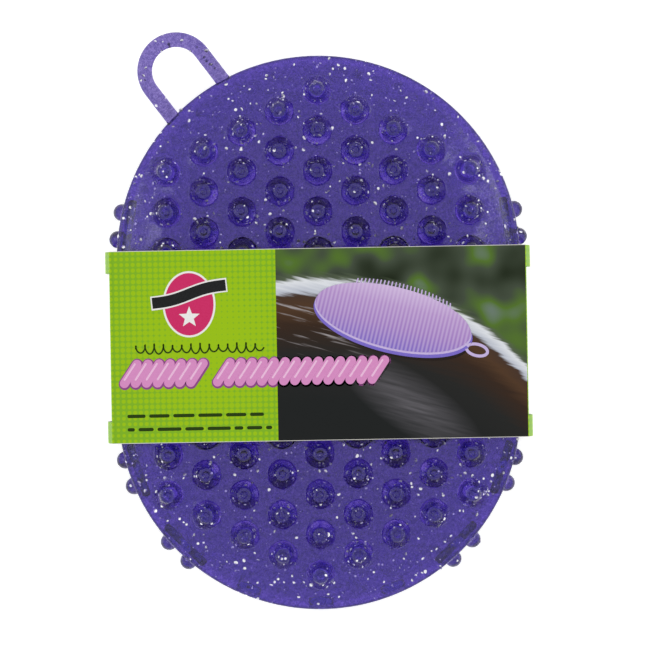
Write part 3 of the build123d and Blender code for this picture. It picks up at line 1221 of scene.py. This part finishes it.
CURL_WAVES, CURL_STEPS, CURL_START, CURL_LENGTH, CURL_MIDDLE = 14, 280, -55.4, 38.4, -0.6
curl = []
for i in range(CURL_STEPS + 1):
    share = i / CURL_STEPS
    turn = share * CURL_WAVES * 2 * pi
    swell = 1.0 + 0.55 * sin(share * 3 * pi) ** 2
    along = CURL_START + CURL_LENGTH * share + 0.55 * cos(turn)
    curl.append(Vector((along, CURL_MIDDLE + swell * sin(turn))))
print_line("thin_curl", script_ink, curl, 0.45, 1)

BAR_START, BAR_GAP, BAR_WIDTH, SHORT_BAR, LONG_BAR = -57.6, 1.1, 1.0, 2.0, 7.5
bars = []
chance = random.Random(5)
for v, end in ((-20.6, -16.8), (-24.6, -14.4)):
    u = BAR_START
    while u < end - 1.5:
        length = min(chance.uniform(SHORT_BAR, LONG_BAR), end - u)
        bars.append((pill_outline(Vector((u + length / 2, v)), length, BAR_WIDTH), 1))
        u += length + BAR_GAP
print_films("small_print_bars", script_ink, bars)

# %% [markdown]
# ## The picture panel
# The right part of the card is a soft-focus picture: a blurred meadow, a horse's back with a pale
# stripe, and a brown coat in shadow. It is all drawn by the material, from the place on the card in
# millimetres: a curve is the line of the back, the distance from it picks a colour from one ramp, and
# noise drawn out along the coat makes hair. It is a film of its own, which runs round the crease.

# %% Picture ink
SPLIT = -12.6
COMBED_WAY, HAIR_SIZE = radians(-16), (13.0, 0.9, 1.0)
picture_ink = new_material("soft_picture_offset_ink")
paint = partial(add, picture_ink)
card_mm = paint("VectorMath", {0: paint("TexCoord").outputs["Object"], "Scale": 1 / MM}, operation="SCALE")
parts = paint("SeparateXYZ", {0: card_mm})
across = paint("Math", {0: parts.outputs["X"], 1: SPLIT}, operation="SUBTRACT")
cube = paint("Math", {0: across, 1: 3.0}, operation="POWER")
back_line = paint("Math", {0: cube, 1: -6.4e-5, 2: 17.6}, operation="MULTIPLY_ADD")
over_back = paint("Math", {0: parts.outputs["Y"], 1: back_line}, operation="SUBTRACT")
combed = paint("Mapping", {
    "Vector": card_mm, "Rotation": (0, 0, COMBED_WAY), "Scale": HAIR_SIZE,
}, vector_type="TEXTURE")
hair = paint("TexNoise", {"Vector": combed, "Scale": 1.0, "Detail": 4.0})
ruffled = paint("Math", {0: hair, 1: 5.0, 2: over_back}, operation="MULTIPLY_ADD")
along_ramp = paint("MapRange", {"Value": ruffled, "From Min": -32.5, "From Max": 17.5})
scenery = paint("ValToRGB", {"Fac": along_ramp})
set_ramp(scenery, [
    (0.0, "#242626"), (0.28, "#2A2A29"), (0.46, "#3B2C23"), (0.56, "#533C2B"), (0.635, "#4A382E"),
    (0.66, "#BFC4D0"), (0.72, "#E2E5EA"), (0.745, "#59644F"), (1.0, "#39432F"),
])

# %% [markdown]
# Over that ramp go three more layers: leafy blurs behind the back, shine in the hair near the left,
# and a dusty patch low on the right. Each is a colour and a mask that fades between two values.

# %% Layers over the picture
blobs = paint("TexNoise", {"Vector": card_mm, "Scale": 0.07, "Detail": 1.0})
leafy = paint("ValToRGB", {"Fac": blobs})
set_ramp(leafy, [(0.3, "#242C1E"), (0.5, "#454F40"), (0.62, "#55742F"), (0.8, "#7C8590")])
in_meadow = paint("MapRange", {"Value": ruffled, "From Min": 4.5, "From Max": 6.5})

shine = paint("MapRange", {"Value": hair, "From Min": 0.58, "From Max": 0.72, "To Max": 0.75})
for place, gone, full in ((across, 34.0, 16.0), (over_back, -24.0, -14.0), (over_back, -1.5, -3.5)):
    fade = paint("MapRange", {"Value": place, "From Min": gone, "From Max": full})
    shine = paint("Math", {0: shine, 1: fade}, operation="MULTIPLY")

DUSTY_PATCH, DUSTY_TURN, DUSTY_SIZE = (27.0, -18.0, 0.0), radians(-35), (26.0, 9.0, 1000.0)
dusty_place = paint("Mapping", {
    "Vector": card_mm, "Location": DUSTY_PATCH, "Rotation": (0, 0, DUSTY_TURN), "Scale": DUSTY_SIZE,
}, vector_type="TEXTURE")
from_patch = paint("VectorMath", {0: dusty_place}, operation="LENGTH").outputs["Value"]
dusty = paint("MapRange", {"Value": from_patch, "From Min": 1.0, "From Max": 0.2, "To Max": 0.85})
dusty_hair = paint("Math", {0: dusty, 1: hair}, operation="MULTIPLY")

picture = scenery.outputs["Color"]
for mask, colour in (
    (in_meadow, leafy.outputs["Color"]), (shine, linear("#B8B2B4")), (dusty_hair, linear("#77747A")),
):
    picture = paint("Mix", {"Factor": mask, 6: picture, 7: colour}, data_type="RGBA").outputs[2]
add_board_surface(picture_ink, picture)


# %% Picture film
def make_picture_film():
    """A film over the right of the front panel that runs half-way round the crease."""
    path, tags = strip_path()
    first_fold = tags.index("front") + tags[tags.index("front"):].index("fold")
    start = SPLIT * MM
    line = [Vector((start, top_z - front_sag(start)))]
    line += [p for p, tag in zip(path, tags) if tag == "front" and p.x > start + 0.5 * MM]
    line += path[first_fold:first_fold + 3]
    half = SLEEVE_LENGTH / 2 - RAW_EDGE
    bm = bmesh.new()
    rings = []
    for i, point in enumerate(line):
        heading = heading_at(line, i)
        outward = Vector((-heading.y, heading.x))
        ring = []
        for y, level in ((-half, 1 - FILM_SHARE), (half, 1 - FILM_SHARE), (half, 1.0), (-half, 1.0)):
            place = point + outward * level * FILM
            ring.append((place.x, y, place.y))
        rings.append(ring)
    loft(bm, rings)
    place_on_sleeve(finish_piece(bm, "picture_film", picture_ink, smooth=False))


make_picture_film()

# %% [markdown]
# ## The mitt in the picture
# The picture shows a mitt of the same kind at work: a low lilac dome with fine ribs, a deeper rim, a
# fringe of bristles along its top edge and a small loop. A few ovals and bars are enough. The ribs
# and bristles would be finer in print, and are drawn over a millimetre apart so that they show.

# %% Picture of a mitt
DOME, DOME_TURN = Vector((22.3, 7.6)), radians(-14.5)
DOME_HALF = 9.0
RIB_PITCH, RIB_STRENGTH = 1.2, 0.38
FRINGE_COUNT, FRINGE_START, FRINGE_PITCH, FRINGE_HALF, FRINGE_RISE = 26, -13.0, 1.15, 23.9, 9.2

rib_ink = new_material("lilac_ribbed_offset_ink")
rib_node = partial(add, rib_ink)
rib_mm = rib_node("Mapping", {
    "Vector": rib_node("TexCoord").outputs["Object"], "Rotation": (0, 0, -DOME_TURN),
    "Scale": (1 / MM, 1 / MM, 1 / MM),
})
rib_parts = rib_node("SeparateXYZ", {0: rib_mm})
rib_turn = rib_node("Math", {0: rib_parts.outputs["X"], 1: 2 * pi / RIB_PITCH}, operation="MULTIPLY")
rib_wave = rib_node("Math", {0: rib_turn}, operation="SINE")
rib_share = rib_node("MapRange", {
    "Value": rib_wave, "From Min": -1.0, "From Max": 1.0, "To Max": RIB_STRENGTH,
})
dome_middle = Matrix.Rotation(-DOME_TURN, 2) @ DOME
dome_rise = rib_node("MapRange", {
    "Value": rib_parts.outputs["Y"], "From Min": dome_middle.y - DOME_HALF,
    "From Max": dome_middle.y + DOME_HALF,
})
dome_tone = rib_node("ValToRGB", {"Fac": dome_rise})
set_ramp(dome_tone, [(0.0, "#7E68C4"), (0.35, "#A37FC4"), (0.7, "#B693CC"), (1.0, "#CFB6DE")])
ribbed = rib_node("Mix", {
    "Factor": rib_share, 6: dome_tone, 7: linear("#E2D0EE"),
}, data_type="RGBA")
add_board_surface(rib_ink, ribbed.outputs[2])

rim_ink = make_ink("violet_offset_ink", "#8272CE", "#7867C4")
pale_ink = make_ink("pale_lilac_offset_ink", "#CDBCE6", "#C3B0DE")
shadow_ink = make_ink("shadow_offset_ink", "#2E2622", "#28211E")
dome_frame = Matrix.Rotation(DOME_TURN, 2)


def on_dome(x, y):
    """A place in the little picture's own frame, x along the dome."""
    return DOME + dome_frame @ Vector((x, y))


def print_oval(name, ink, middle, size, layer):
    print_films(name, ink, [(oval_outline(on_dome(*middle), *size, DOME_TURN), layer)])


print_oval("pictured_shadow", shadow_ink, (2.0, -3.4), (44.0, 15.6), 2)
loop_turns = [radians(-168 + 336 * i / 30) for i in range(31)]
loop_line = [on_dome(26.6 + 3.2 * cos(turn), -3.6 + 1.7 * sin(turn)) for turn in loop_turns]
print_line("pictured_loop", pale_ink, loop_line, 0.9, 3)
print_oval("pictured_rim", rim_ink, (0.3, -1.4), (48.6, 18.6), 3)
print_oval("pictured_rim_edge", pale_ink, (0.1, -0.55), (48.0, 18.4), 4)
fringe = []
for i in range(FRINGE_COUNT):
    x = FRINGE_START + i * FRINGE_PITCH
    y = FRINGE_RISE * sqrt(1 - (x / FRINGE_HALF) ** 2)
    fringe.append((pill_outline(on_dome(x, y + 0.35), 1.9, 0.42, DOME_TURN + pi / 2 + x * 0.01), 5))
print_films("pictured_bristles", pale_ink, fringe)
print_oval("pictured_dome", rib_ink, (0.0, 0.0), (47.4, 18.2), 6)

# %% [markdown]
# ## Sizes, and the end
# The sizes of the fixed frame and of the finished pieces are both printed, in millimetres.
# The visual model has to keep the size of the fixed frame.

# %% Finish
made_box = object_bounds()
for label, (low, high) in (("frame", cad_box), ("finished", made_box)):
    print(label, "size in mm:", [round((h - l) / MM, 1) for l, h in zip(low, high)])
